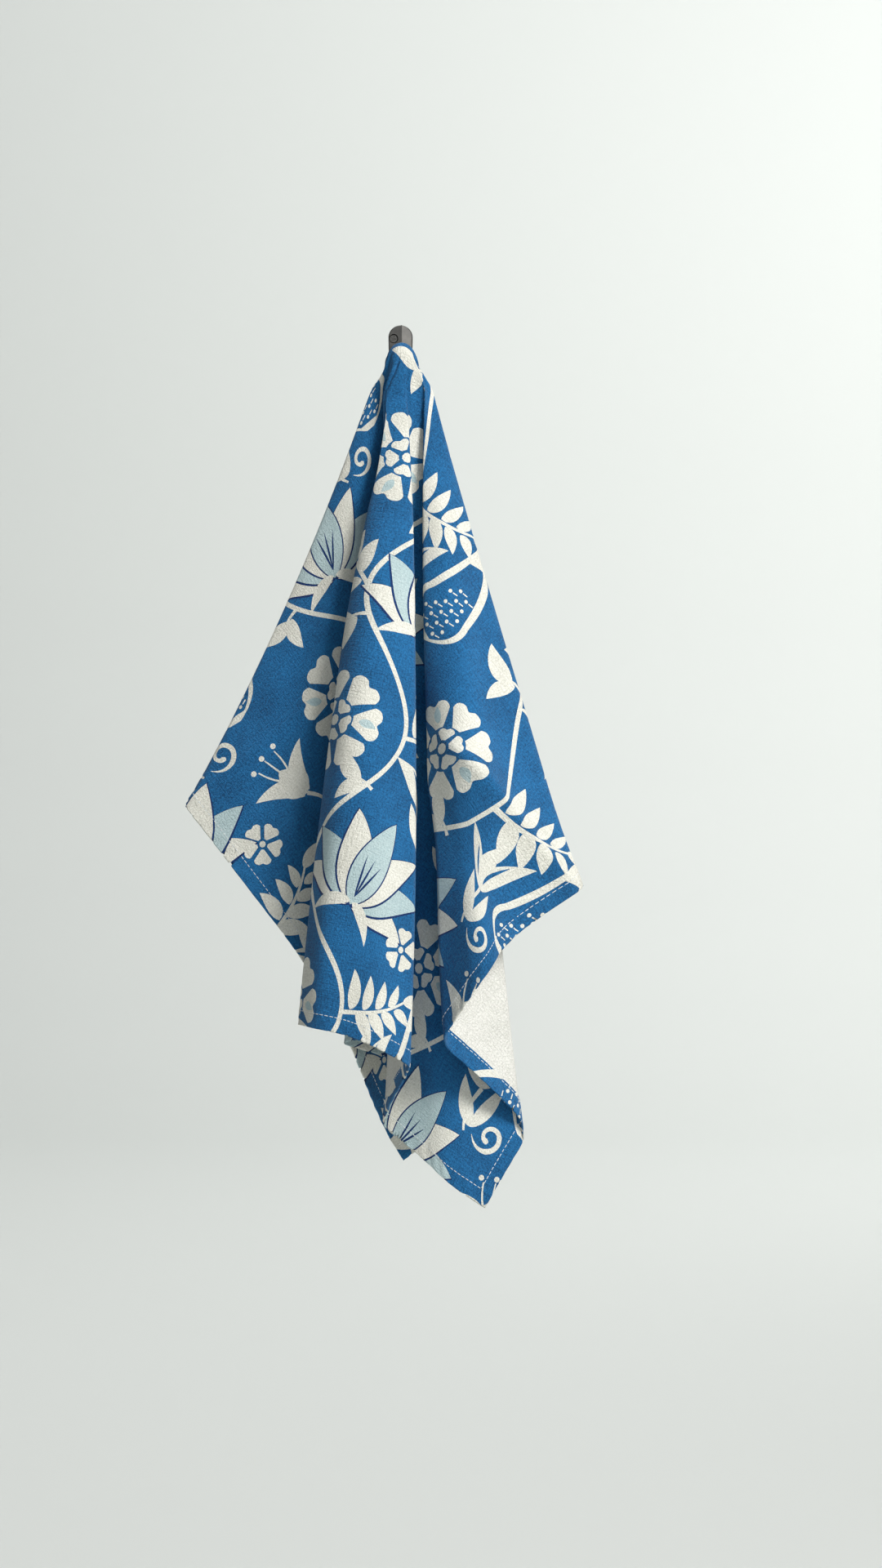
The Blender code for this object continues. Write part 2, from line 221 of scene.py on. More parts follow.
class Hang:
    """The hanging cloth: mid cloth, its tangents and its printed side, at any flat place."""

    def __init__(self):
        self.angles = np.linspace(-180, 180, 3601)
        self.steps = np.linspace(0, 1, 151) ** 1.5 * LONGEST
        angle, length = np.meshgrid(self.angles, self.steps, indexing="ij")
        xy = cloth_xy(angle, length)
        run = np.diff(self.steps)[None]
        aside = np.hypot(*np.diff(xy, axis=2))
        # What is left of a step's length, once it has moved sideways, goes downwards.
        drop = np.sqrt(np.maximum(run ** 2 - aside ** 2, (STEEPEST * run) ** 2))
        self.fall = np.pad(np.cumsum(drop, axis=1), ((0, 0), (1, 0)))

    def mid(self, flat):
        """Places of mid cloth without creases. `flat` is rows of (right, up) in metres."""
        angle = np.degrees(np.arctan2(flat[:, 0], -flat[:, 1]))
        length = np.hypot(flat[:, 0], flat[:, 1])
        i = (angle + 180) / 360 * (len(self.angles) - 1)
        j = np.interp(length, self.steps, np.arange(len(self.steps)))
        i0 = np.clip(i.astype(int), 0, len(self.angles) - 2)
        j0 = np.clip(j.astype(int), 0, len(self.steps) - 2)
        i, j = i - i0, j - j0
        fall = ((self.fall[i0, j0] * (1 - i) + self.fall[i0 + 1, j0] * i) * (1 - j)
                + (self.fall[i0, j0 + 1] * (1 - i) + self.fall[i0 + 1, j0 + 1] * i) * j)
        x, y = cloth_xy(angle, length)
        return np.stack([x, y, HANG.z - fall], axis=1)

    def swell(self, flat):
        """How far the creases and ripples lift the cloth, towards its printed side."""
        length = np.hypot(flat[:, 0], flat[:, 1])
        turn = np.arctan2(flat[:, 0], -flat[:, 1])
        lift = ripples(turn, length) + gathers(turn, length) + puckers(flat)
        for crease in CREASES:
            along, off = beside(crease, flat)
            off /= crease.wide * MM
            ends = ramp(along, 0, CREASE_FADE) * ramp(along, 1, 1 - CREASE_FADE)
            lift += crease.high * MM * np.exp(crease.crest - np.hypot(off, crease.crest)) * ends
        wall = np.exp(-(np.degrees(turn) / TIGHT_WALL) ** 2)
        return lift * (1 - wall * ramp(length, *TIGHT_WALL_GROW) * ramp(length, *TIGHT_WALL_FADE))

    def lay(self, flat):
        """Flat points laid on the hanging cloth: their places in mid cloth, its two tangents and
        the way its printed side faces, as rows of (x, y, z)."""
        reach = 0.0004
        right, up = np.array((reach, 0)), np.array((0, reach))
        du = (self.mid(flat + right) - self.mid(flat - right)) / (2 * reach)
        dv = (self.mid(flat + up) - self.mid(flat - up)) / (2 * reach)
        out = unit(np.cross(du, dv))
        place = self.mid(flat) + out * self.swell(flat)[:, None]
        rise_u = (self.swell(flat + right) - self.swell(flat - right)) / (2 * reach)
        rise_v = (self.swell(flat + up) - self.swell(flat - up)) / (2 * reach)
        side = unit(np.cross(du + out * rise_u[:, None], dv + out * rise_v[:, None]))
        return place, unit(du), unit(dv), side


# ---------------------------------------------------------------- the print
# A motif is a list of (colour, outline) in mm, in the order it is printed.

INKS = ("ground", "cream", "teal", "navy")


def ribbon(line, left, right=None):
    """Outline of a band along a line of points, with its width to the left and to the right."""
    line = np.asarray(line, float)
    way = unit(np.gradient(line, axis=0))
    aside = np.stack([-way[:, 1], way[:, 0]], 1)
    right = left if right is None else right
    wide = [np.broadcast_to(w, len(line))[:, None] for w in (left, right)]
    return np.vstack([line + aside * wide[0], (line - aside * wide[1])[::-1]])


def moved(outline, right=0.0, up=0.0, turned=0.0, size=1.0):
    """The outline made larger or smaller, turned by degrees and then shifted."""
    c, s = math.cos(math.radians(turned)), math.sin(math.radians(turned))
    return np.asarray(outline) * size @ np.array([[c, s], [-s, c]]) + (right, up)


def disc(radius, corners=10):
    """A round dot."""
    turn = np.arange(corners) * 2 * np.pi / corners
    return np.stack([radius * np.sin(turn), radius * np.cos(turn)], 1)


def leaf(long, wide, bend=0.0, lean=0.0):
    """A pointed leaf. `bend` curls its tip, and `lean` makes one side fuller than the other."""
    t = np.linspace(0, 1, 19)
    spine = np.stack([bend * long * t ** 2.2, long * t], 1)
    half = wide / 2 * np.sin(np.pi * t ** 0.8) ** 0.85 + 0.02
    return ribbon(spine, half * (1 + lean), half * (1 - lean))


def stalk(long, sway, thick):
    """A bent stem that grows thinner upwards."""
    t = np.linspace(0, 1, 14)
    return ribbon(np.stack([sway * np.sin(2.4 * t), long * t], 1), thick * (1.2 - 0.6 * t) / 2)


def petal(inner, outer, spread):
    """A fan-shaped petal with a soft notch in its outer edge."""
    a = np.linspace(-1, 1, 25)
    r = outer * (1 - 0.14 * a ** 6 - 0.09 * np.exp(-(a / 0.22) ** 2))
    turn = np.radians(a * spread / 2)
    back = np.radians(a[::-4] * spread * 0.26)
    return np.vstack([np.stack([r * np.sin(turn), r * np.cos(turn)], 1),
                      np.stack([inner * np.sin(back), inner * np.cos(back)], 1)])


def peony(radius=35):
    """A round flower: seven broad petals with pale hearts, five small ones and a button."""
    shapes = []
    for k in range(7):
        turned = k * 360 / 7
        shapes.append(("cream", moved(petal(radius * 0.45, radius, 46), turned=turned)))
        if k % 2:
            shapes.append(("teal", moved(moved(leaf(radius * 0.34, radius * 0.17, 0.2), 0,
                                               radius * 0.56), turned=turned)))
    shapes += [("cream", moved(petal(radius * 0.17, radius * 0.42, 62), turned=25 + 72 * k))
               for k in range(5)]
    return shapes + [("cream", disc(radius * 0.11))]


def rosette(radius=15):
    """A small flower of five petals."""
    shapes = [("cream", moved(petal(radius * 0.26, radius, 58), turned=72 * k)) for k in range(5)]
    return shapes + [("cream", disc(radius * 0.16, 8))]


def sprig(pairs=4, long=66):
    """A leafy twig: full curled leaves in pairs that don't quite touch the stalk."""
    shapes = [("cream", stalk(long, 9, 2.8))]
    for k in range(pairs):
        up = 7 + (long - 12) * k / pairs
        sway = 9 * math.sin(2.4 * up / long)
        for side in (-1, 1):
            shapes.append(("cream", moved(leaf(28, 12.5, 0.24 * side, 0.2 * side),
                                          sway + 2.2 * side, up + 5 * (side > 0),
                                          -side * (54 - 7 * k), 1 - 0.12 * k)))
    return shapes + [("cream", moved(leaf(25, 10.5, 0.15), 9 * math.sin(2.4), long - 3, -6))]


def tulip(long=42):
    """A closed flower with two slits, on a stem with a pair of leaves."""
    shapes = [("cream", moved(stalk(long * 0.75, 6, 2.8), turned=180))]
    for side in (-1, 1):
        shapes.append(("cream", moved(leaf(long, long * 0.36, 0.45 * side, -0.2 * side),
                                      side, 0, -side * 12)))
        shapes.append(("cream", moved(leaf(long * 0.85, long * 0.26, -0.3 * side, 0.2 * side),
                                      0, -long * 0.66, -side * 40)))
    shapes.append(("cream", leaf(long * 0.86, long * 0.44)))
    for side in (-1, 1):
        shapes.append(("ground", moved(leaf(long * 0.55, long * 0.07, 0.2 * side),
                                       side * long * 0.12, long * 0.2, -side * 13)))
    return shapes


def palmette(long=74):
    """Broad pale petals with navy outlines, a darker heart and short navy strokes."""
    shapes = []
    for turned, size, ink in ((-66, 0.74, "cream"), (66, 0.74, "cream"), (-44, 0.88, "teal"),
                              (44, 0.88, "teal"), (-22, 0.96, "cream"), (22, 0.96, "cream"),
                              (0, 1.0, "teal")):
        bend = -turned / 210
        shapes.append(("navy", moved(leaf(long + 2, long * 0.40 + 2.4, bend), 0, -1, turned, size)))
        shapes.append((ink, moved(leaf(long, long * 0.40, bend), 0, 0, turned, size)))
    for turned in (-14, 0, 14):
        shapes.append(("navy", moved(leaf(long * 0.46, 1.8), 0, 6, turned)))
    for side in (-1, 1):
        shapes.append(("cream", moved(leaf(long * 0.42, long * 0.13, 0.5 * side),
                                      side, 2, -side * 100)))
    return shapes


def pod(long=78, wide=50):
    """A curled drop: a cream rim round a middle that is strewn with dots and short dashes."""
    t = np.linspace(0, 1, 44)
    spine = np.stack([-0.34 * long * t ** 3, long * t], 1)
    swelling = np.sin(np.pi * np.minimum(t * 1.55 + 0.03, 0.5 + 0.5 * t ** 1.3))
    half = wide / 2 * swelling ** 0.75 + 0.1
    inner = slice(3, 37)
    shapes = [("cream", ribbon(spine, half)),
              ("ground", ribbon(spine[inner],
                                (half[inner] - 3.2) * np.linspace(1, 0.75, 34)))]
    for row in range(6):
        for column in range(-2, 3):
            x, y = column * 8.4 + 4.2 * (row % 2) - 0.3 * row, 9.5 + row * 7
            if abs(x) < 15.5 - 0.24 * max(y - 20, 0) - 0.5 * max(14 - y, 0):
                shapes.append(("cream", moved(disc(1.5, 8), x, y)))
                if abs(x + 4.2) < 15 - 0.24 * max(y - 18, 0):
                    shapes.append(("cream", moved(ribbon([(-2, 0), (0, 0.01), (2, 0)], 0.45),
                                                  x + 4.0, y + 1.9, 28)))
    return shapes


def curl(size=30):
    """A tapering spiral tendril."""
    t = np.linspace(0, 1, 60)
    turn, r = 2.5 * np.pi * t, size / 2 * (1 - 0.78 * t ** 0.7)
    line = np.stack([r * np.cos(turn), r * np.sin(turn)], 1)
    half = np.interp(t, (0, 0.2, 0.8, 0.95, 1), (0.2, 2.2, 1.5, 2.4, 0.8))
    return [("cream", ribbon(line, half))]


def bell(long=44):
    """A bell flower from the side, on a short stalk."""
    shapes = [("cream", moved(stalk(long * 0.5, -5, 2.6), turned=180))]
    shapes += [("cream", moved(leaf(long * 0.72, long * 0.30, 0.62 * side, 0.35 * side),
                               side * 3, 0, -side * 10)) for side in (-1, 1)]
    shapes.append(("cream", leaf(long * 0.62, long * 0.52)))
    shapes += [("cream", moved(stalk(long * 0.62, 3 * k, 1.6), 0, long * 0.3, -16 * k))
               for k in (-1, 0, 1)]
    shapes += [("cream", moved(disc(2.1, 8), *moved((0, long * 0.98), turned=-16 * k)))
               for k in (-1, 0, 1)]
    return shapes


def leaf_pair():
    """Two leaves from one short stalk."""
    return [("cream", stalk(16, 2, 2.4)),
            ("cream", moved(leaf(30, 13, 0.3, 0.2), 1, 11, -18)),
            ("cream", moved(leaf(23, 11, -0.3, -0.2), 0, 8, 38))]


REPEAT = (212.0, 196.0)                 # the print's repeat, across and up
VINE_WAVE = 27                          # how far its stem sways to each side


def vine():
    """The wavy stem that all of a column grows from; it joins the next repeat's."""
    t = np.linspace(0, 1, 61)
    line = np.stack([VINE_WAVE * np.sin(2 * np.pi * t), REPEAT[1] * t], 1)
    return [("cream", ribbon(line, 1.7))]


# One repeat of the print, as (motif, right, up, turned, size). It steps up half a repeat in each
# next column.
Place = namedtuple("Place", "motif right up turned size")
LAYOUT = (
    Place(vine,       54,   0,    0, 1.0),
    Place(peony,      26,  50,   12, 1.0),
    Place(palmette,   70, 122,  -20, 0.92),
    Place(sprig,      82,  50,  -62, 0.95),
    Place(leaf_pair,  66,   6,   72, 0.9),
    Place(sprig,      27, 146,   58, 0.9),
    Place(leaf_pair,  33, 126,  112, 1.0),
    Place(tulip,     116,   6,   14, 1.0),
    Place(pod,       160,  -8,  -10, 1.0),
    Place(rosette,   124, 106,    0, 1.0),
    Place(bell,      172, 113,   16, 1.0),
    Place(curl,      139, 176,  200, 0.9),
)
PRINT_UP = 60.0                         # how far up the print starts on this towel
COLUMNS, ROWS = range(-3, 4), range(-5, 3)      # the repeats that cover it


def thinned(outline, most_off=0.12, longest=7.0):
    """The outline with fewer points: none further off than `most_off`, no gap over `longest`."""
    keep, start = [0], 0
    for end in range(2, len(outline)):
        chord = outline[end] - outline[start]
        between = outline[start + 1:end] - outline[start]
        long = max(np.hypot(*chord), 1e-9)
        off = np.abs(between[:, 0] * chord[1] - between[:, 1] * chord[0]) / long
        if off.max() > most_off or long > longest:
            start = end - 1
            keep.append(start)
    return outline[keep + [len(outline) - 1]]


# How far apart an outline's points may lie at four distances from the hook, and on a bend.
ROOM_AT, ROOM, BEND_ROOM = (0.008, 0.05, 0.095, 0.14), (0.0012, 0.0016, 0.0028, 0.007), 0.0026


def room_for(flat):
    """How far apart an outline's points may lie: closer near the hook and on a fold or crease."""
    far = np.hypot(flat[:, 0], flat[:, 1])
    room = np.interp(far, ROOM_AT, ROOM)
    turn = np.arctan2(flat[:, 0], -flat[:, 1])
    bends = [(far * np.abs(turn - math.radians(f.angle)), f.soft * MM) for f in FOLDS[1:-1]]
    bends += [(np.abs(beside(c, flat)[1]), c.wide * 0.4 * MM) for c in PRESSED_CREASES]
    for off, wide in bends:
        room = np.where(off < wide + 0.002, np.minimum(room, BEND_ROOM), room)
    return room


def filled_in(outline):
    """The outline with points added where its edges are longer than the cloth's shape allows."""
    after = np.roll(outline, -1, axis=0)
    room = np.minimum(np.minimum(room_for(outline), room_for(after)),
                      room_for((outline + after) / 2))
    parts = np.maximum(np.ceil(np.linalg.norm(after - outline, axis=1) / room), 1).astype(int)
    return np.vstack([a + (b - a) * (np.arange(n) / n)[:, None]
                      for a, b, n in zip(outline, after, parts)])


def printed_outlines():
    """Every outline of the print that touches the cloth, in printing order."""
    low = np.array((-CUT_LEFT - HEM, -CUT_DOWN - HEM)) / MM
    high = np.array((CUT_RIGHT + HEM, CUT_UP + HEM)) / MM
    outlines = []
    for column in COLUMNS:
        for row in ROWS:
            corner = (column * REPEAT[0], (row + 0.5 * (column % 2)) * REPEAT[1] + PRINT_UP)
            for place in LAYOUT:
                for ink, outline in place.motif():
                    shape = moved(outline, place.right + corner[0], place.up + corner[1],
                                  place.turned, place.size)
                    if (shape.max(axis=0) > low).all() and (shape.min(axis=0) < high).all():
                        outlines.append((ink, filled_in(thinned(shape) * MM)))
    return outlines


# ---------------------------------------------------------------- the cloth's faces

def hexagons(low, high, pitch):
    """Points of a triangular grid between two corners."""
    points = []
    for k, y in enumerate(np.arange(low[1], high[1], pitch * math.sqrt(3) / 2)):
        x = np.arange(low[0] + (k % 2) * pitch / 2, high[0], pitch)
        points.append(np.stack([x, np.full(len(x), y)], 1))
    return np.vstack(points)


FOLD_ROWS = (1, 0.7, 0.42, 0.14, -0.14, -0.42, -0.7, -1)       # shares of a fold's rounding
CREASE_ROWS = (-1, -0.6, -0.25, 0, 0.25, 0.6, 1)               # shares of a crease's width
FOLD_ROWS_REACH = (0.03, 0.62)          # from where to where they run, from the hanging point
ROW_STEP = 0.004


def rows_along(start, way, lengths, offs):
    """Rows of points along a line, at the given distances to the left of it."""
    aside = np.array((-way[1], way[0]))
    return [start + lengths[:, None] * way + off * aside for off in offs]


def fold_rows():
    """Points along every fold and pressed fold, close enough across it to carry its rounding."""
    points = []
    for fold in FOLDS[1:-1]:
        turn = math.radians(fold.angle)
        points += rows_along(np.zeros(2), np.array((math.sin(turn), -math.cos(turn))),
                             np.arange(*FOLD_ROWS_REACH, ROW_STEP),
                             [off * fold.soft * MM for off in FOLD_ROWS])
    for crease in PRESSED_CREASES:
        a, b = (np.array(p) * MM for p in (crease.start, crease.end))
        long = np.linalg.norm(b - a)
        points += rows_along(a, (b - a) / long, np.arange(0, long, ROW_STEP),
                             [off * crease.wide * MM for off in CREASE_ROWS])
    return np.vstack(points)


# The spacing of the cloth's points near the hook, and between which distances from it.
NEAR_HOOK = ((0.0010, 0.0, 0.008), (0.0013, 0.008, 0.050), (0.0026, 0.050, 0.095))


def body_points(pitch):
    """Points inside the cloth's edges: rows along its folds, and a grid, finer near the hook."""
    low, high = np.array((-CUT_LEFT, -CUT_DOWN)), np.array((CUT_RIGHT, CUT_UP))
    grids = []
    for size, inner, outer in NEAR_HOOK + ((pitch, NEAR_HOOK[-1][2], 1.0),):
        grid = hexagons(np.maximum(low, -outer), np.minimum(high, outer), size)
        far = np.hypot(grid[:, 0], grid[:, 1])
        grids.append(grid[(far >= inner) & (far < outer)])
    return fold_rows(), np.vstack(grids)


def spaced(points, taken, room):
    """The points that don't share a small cell with one already taken."""
    cells = set(map(tuple, np.floor(taken / room).astype(int)))
    keep = [tuple(cell) not in cells for cell in np.floor(points / room).astype(int)]
    return points[np.array(keep)]


def inside(points, margin):
    """The points at least `margin` inside the cloth's edges."""
    return points[beyond_edges(points).max(axis=1) < -margin]


def edge_marks(low, high, step=ROW_STEP):
    """Even places along an edge, the same for each layer that meets there."""
    return np.linspace(low, high, int(round((high - low) / step)) + 1)


def triangles(points, outlines):
    """Triangles over the points and outlines: 2D points, faces, and each face's outlines."""
    verts, loops = list(map(Vector, points)), []
    for outline in outlines:
        x, y = outline[:, 0], outline[:, 1]
        if (x * np.roll(y, -1) - y * np.roll(x, -1)).sum() < 0:
            outline = outline[::-1]
        loops.append(list(range(len(verts), len(verts) + len(outline))))
        verts += map(Vector, outline)
    flat, _, faces, _, _, origins = delaunay_2d_cdt(verts, [], loops, 1, 1e-6, True)
    return np.array([(v.x, v.y) for v in flat]), faces, origins


CORNERS = ((-CUT_LEFT, -CUT_DOWN), (CUT_RIGHT, -CUT_DOWN), (CUT_RIGHT, CUT_UP), (-CUT_LEFT, CUT_UP))
NEAR = 2e-6                             # flat points closer than this are one point
MITRE_POINTS = np.array((0.0, 0.0004, 0.0008, 0.003, 0.006, 0.009))     # along a corner's slant


def distinct(values):
    """The values in order, without those that are as good as the one before."""
    values = np.sort(values)
    return values[np.concatenate([[True], np.diff(values) > NEAR])]


def skin_outline(mitres):
    """The printed piece before its hems are turned: the towel with four mitred flaps.
    `mitres` gives, for each corner, how far along the flap's slant its points lie."""
    across = edge_marks(-CUT_LEFT + HEM, CUT_RIGHT - HEM)
    along = edge_marks(-CUT_DOWN + HEM, CUT_UP - HEM)
    edges = ([(x, -CUT_DOWN - HEM) for x in across], [(CUT_RIGHT + HEM, y) for y in along],
             [(x, CUT_UP + HEM) for x in across[::-1]], [(-CUT_LEFT - HEM, y) for y in along[::-1]])
    leave, arrive = ((1, -1), (1, 1), (-1, 1), (-1, -1)), ((-1, -1), (1, -1), (1, 1), (-1, 1))
    points = []
    for k in range(4):
        after = (k + 1) % 4
        points += [np.array(CORNERS[k]) + np.array(leave[k]) * d for d in mitres[k]]
        points += edges[k]
        points += [np.array(CORNERS[after]) + np.array(arrive[k]) * d for d in mitres[after][:0:-1]]
    return np.array(points)


def crossed_mitres(prints):
    """The skin's outline, with a point on both slants of a corner where the print crosses one."""
    flat, _, _ = triangles([], [skin_outline([MITRE_POINTS] * 4)] + prints)
    mitres = []
    for k, corner in enumerate(CORNERS):
        x, y = (flat - corner).T
        on = np.abs(x + y if k % 2 == 0 else x - y) < NEAR
        crossed = np.abs(x[on])
        mitres.append(distinct(np.concatenate([MITRE_POINTS, crossed[crossed < HEM - 0.0002]])))
    return skin_outline(mitres)


def hem_inner_edge(skin):
    """Where the turned hems end on the flat cloth, in order, at the skin's own border points."""
    x, y = skin.T
    parts = []
    for on, along, line, turned in ((y + CUT_DOWN + HEM, x, -CUT_DOWN + HEM, False),
                                    (x - CUT_RIGHT - HEM, y, CUT_RIGHT - HEM, False),
                                    (y - CUT_UP - HEM, x, CUT_UP - HEM, True),
                                    (x + CUT_LEFT + HEM, y, -CUT_LEFT + HEM, True)):
        marks = distinct(along[np.abs(on) < NEAR])
        marks = marks[:0:-1] if turned else marks[:-1]
        level = np.full(len(marks), line)
        parts.append(np.stack([marks, level] if along is x else [level, marks], 1))
    return np.vstack(parts)


def hem_rows(clear=0.002, step=0.003):
    """Points along the folded edges, so that they are round, but clear of the corners."""
    across = edge_marks(-CUT_LEFT + clear, CUT_RIGHT - clear, step)
    along = edge_marks(-CUT_DOWN + clear, CUT_UP - clear, step)
    rows = []
    for off in np.array((-1, -0.5, 0, 0.5, 1)) * EDGE_ROUND:
        rows += [np.stack([across, np.full(len(across), y)], 1)
                 for y in (-CUT_DOWN - off, CUT_UP + off)]
        rows += [np.stack([np.full(len(along), x), along], 1)
                 for x in (-CUT_LEFT - off, CUT_RIGHT + off)]
    return np.vstack(rows)


SKIN_PITCH, FLAP_PITCH, BACK_PITCH = 0.0052, 0.0035, 0.0064
ROW_ROOM, SKIN_ROOM, BACK_ROOM = 0.0009, 0.0022, 0.0024         # cells that hold one point each


def flap_points():
    """Points on the flaps that become the hems, clear of their edges and mitres."""
    flaps = hexagons((-CUT_LEFT - HEM, -CUT_DOWN - HEM), (CUT_RIGHT + HEM, CUT_UP + HEM),
                     FLAP_PITCH)
    further, furthest = np.sort(beyond_edges(flaps), axis=1)[:, 2:].T
    return flaps[(furthest > 0.0015) & (furthest < HEM - 0.0015) & (further < -furthest - 0.001)]


def printed_skin():
    """The printed piece, flat: its points, and its triangles with each one's ink."""
    prints = printed_outlines()
    outline = crossed_mitres([o for _, o in prints])
    taken = np.vstack([outline, hem_rows()] + [o for _, o in prints])
    rows, grid = body_points(SKIN_PITCH)
    extra = spaced(np.vstack([inside(rows, 0.0015), flap_points()]), taken, ROW_ROOM)
    grid = spaced(inside(grid, 0.0025), np.vstack([taken, extra]), SKIN_ROOM)
    skin, faces, origins = triangles(np.vstack([hem_rows(), extra, grid]),
                                     [outline] + [o for _, o in prints])
    inks = [INKS.index("ground")] + [INKS.index(ink) for ink, _ in prints]
    return skin, [(f, inks[max(o)]) for f, o in zip(faces, origins) if 0 in o]


def unprinted_back(skin):
    """The back inside the turned hems, flat: its points and triangles."""
    rim = hem_inner_edge(skin)
    centre = np.array(((CUT_RIGHT - CUT_LEFT) / 2, (CUT_UP - CUT_DOWN) / 2))
    reach = np.array(((CUT_RIGHT + CUT_LEFT) / 2, (CUT_UP + CUT_DOWN) / 2)) - HEM
    inner = centre + (rim - centre) * (1 - 0.0005 / reach)
    rows, grid = body_points(BACK_PITCH)
    rows = spaced(inside(rows, HEM + 0.002), inner, ROW_ROOM)
    grid = spaced(inside(grid, HEM + 0.003), np.vstack([inner, rows]), BACK_ROOM)
    back, faces, _ = triangles(np.vstack([inner, rows, grid]), [rim])
    return back, faces


def mesh_towel(hang):
    """The towel: printed skin with its hems turned in, and unprinted back, as one closed mesh."""
    skin, faces = printed_skin()
    back, back_faces = unprinted_back(skin)
    faces += [([i + len(skin) for i in f[::-1]], len(INKS)) for f in back_faces]

    place, side = turned_in(hang, skin)
    back_place, _, _, out = hang.lay(back)
    on_hem = np.abs(beyond_edges(back).max(axis=1) + HEM) < 1e-5
    back_place = back_place - out * np.where(on_hem, HEM_BACK, HALF_CLOTH)[:, None]
    return closed_sheet(np.vstack([place, back_place]), np.vstack([side, -out]),
                        np.vstack([skin, back]), len(skin), faces)


def turned_in(hang, skin):
    """Where the printed skin lies once its hems are turned to the back, and which way it faces."""
    low, high = CORNERS[0], CORNERS[2]
    past = beyond_edges(skin)
    # The turn round each edge, from 0 on the front to pi on the hem, and the depth inside it.
    phase = np.clip((past + EDGE_ROUND) / (2 * EDGE_ROUND), 0, 1) * np.pi
    depth = np.where(np.abs(past) < EDGE_ROUND, EDGE_ROUND * (1 - np.sin(phase)), np.abs(past))
    x = np.where(past[:, 0] > past[:, 1], low[0] + depth[:, 0], high[0] - depth[:, 1])
    y = np.where(past[:, 2] > past[:, 3], low[1] + depth[:, 2], high[1] - depth[:, 3])
    mid, du, dv, out = hang.lay(np.stack([x, y], 1))
    turn = phase.max(axis=1)
    middle = (HALF_CLOTH - HEM_BACK) / 2
    lift = middle + (HALF_CLOTH - middle) * np.cos(turn)
    sine = np.sin(phase)
    side = (out * np.cos(turn)[:, None]
            + du * (sine[:, 1] - sine[:, 0])[:, None] + dv * (sine[:, 3] - sine[:, 2])[:, None])
    return mid + out * lift[:, None], unit(side)


def closed_sheet(places, sides, flats, skin_count, faces):
    """One mesh with its inks, two UV maps and its smooth sides. The map "Cloth" is the flat cloth
    in metres, and "OFBake" lays the skin and the back one above the other in the unit square."""
    mesh = bpy.data.meshes.new("towel_cloth")
    mesh.from_pydata(places.tolist(), [], [f for f, _ in faces])
    mesh.polygons.foreach_set("material_index", [ink for _, ink in faces])
    corner = np.array([i for f, _ in faces for i in f])
    spread = flats[corner]
    mesh.uv_layers.new(name="Cloth").data.foreach_set("uv", spread.ravel())
    gap, span = 0.004, 1.06             # round each of the two, and the side of their square
    lowest = np.array((CUT_LEFT + HEM + gap, CUT_DOWN + HEM + gap))
    tall = CUT_DOWN + CUT_UP + 2 * HEM + gap
    above = np.where(corner < skin_count, 0, tall)[:, None] * (0, 1)
    packed = (spread + lowest + above) / span
    mesh.uv_layers.new(name="OFBake").data.foreach_set("uv", packed.ravel())

    # The sides are kept with their points while the hems' edges are welded to the back.
    mesh.attributes.new("side", "FLOAT_VECTOR", "POINT").data.foreach_set("vector", sides.ravel())
    bm = bmesh.new()
    bm.from_mesh(mesh)
    bmesh.ops.remove_doubles(bm, verts=[v for v in bm.verts if v.is_boundary], dist=2e-5)
    bm.to_mesh(mesh)
    bm.free()
    sides = np.zeros(len(mesh.vertices) * 3)
    mesh.attributes["side"].data.foreach_get("vector", sides)
    mesh.attributes.remove(mesh.attributes["side"])
    mesh.shade_smooth()
    mesh.normals_split_custom_set_from_vertices(sides.reshape(-1, 3))
    return mesh


# ---------------------------------------------------------------- shader maths

class Value:
    """A socket whose arithmetic adds Math nodes, so that a pattern reads as an expression."""

    def __init__(self, shader, socket):
        self.shader, self.socket = shader, socket

    def math(self, operation, *others):
        return self.shader.add("ShaderNodeMath", {"operation": operation}, [self, *others])

    def __add__(self, other): return self.math("ADD", other)
    def __radd__(self, other): return self.math("ADD", other)
    def __sub__(self, other): return self.math("SUBTRACT", other)
    def __rsub__(self, other): return self.math("MULTIPLY_ADD", -1.0, other)
    def __mul__(self, other): return self.math("MULTIPLY", other)
    def __rmul__(self, other): return self.math("MULTIPLY", other)
    def sine(self): return self.math("SINE")


class Shader:
    """A material's nodes."""

    def __init__(self, name, **sockets):
        self.material = bpy.data.materials.new(name)
        self.material.use_nodes = True
        self.tree = self.material.node_tree
        self.surface = self.tree.nodes["Principled BSDF"]
        for socket, value in sockets.items():
            self.surface.inputs[socket.replace("_", " ")].default_value = value

    def add(self, kind, settings=None, values=(), out=0, **named):
        """One node: its settings first, then its sockets, by place or by name."""
        node = self.tree.nodes.new(kind)
        for setting, value in (settings or {}).items():
            setattr(node, setting, value)
        for place, value in enumerate(values):
            self.put(node.inputs[place], value)
        for name, value in named.items():
            self.put(node.inputs[name.replace("_", " ")], value)
        return Value(self, node.outputs[out])

    def put(self, socket, value):
        """Link a value to a socket, or set it to a number or colour; None leaves it alone."""
        if isinstance(value, Value):
            self.tree.links.new(value.socket, socket)
        elif value is not None:
            socket.default_value = value

    def mix(self, factor, a, b):
        """Two colours, mixed by a value. The node's colours are its sockets 6 and 7, and 2 out."""
        return self.add("ShaderNodeMix", {"data_type": "RGBA"}, [factor] + [None] * 5 + [a, b], 2)

    def finish(self, colour, roughness=None, normal=None):
        """The material, with its colour and whatever else varies over it."""
        for socket, value in (("Base Color", colour), ("Roughness", roughness),
                              ("Normal", normal)):
            self.put(self.surface.inputs[socket], value)
        return self.material


def rgb(red, green, blue):
    """A screen colour of 0 to 255 as a linear one."""
    return tuple(((c / 255 + 0.055) / 1.055) ** 2.4 if c > 10 else c / 3294.6
                 for c in (red, green, blue)) + (1.0,)


# ---------------------------------------------------------------- materials

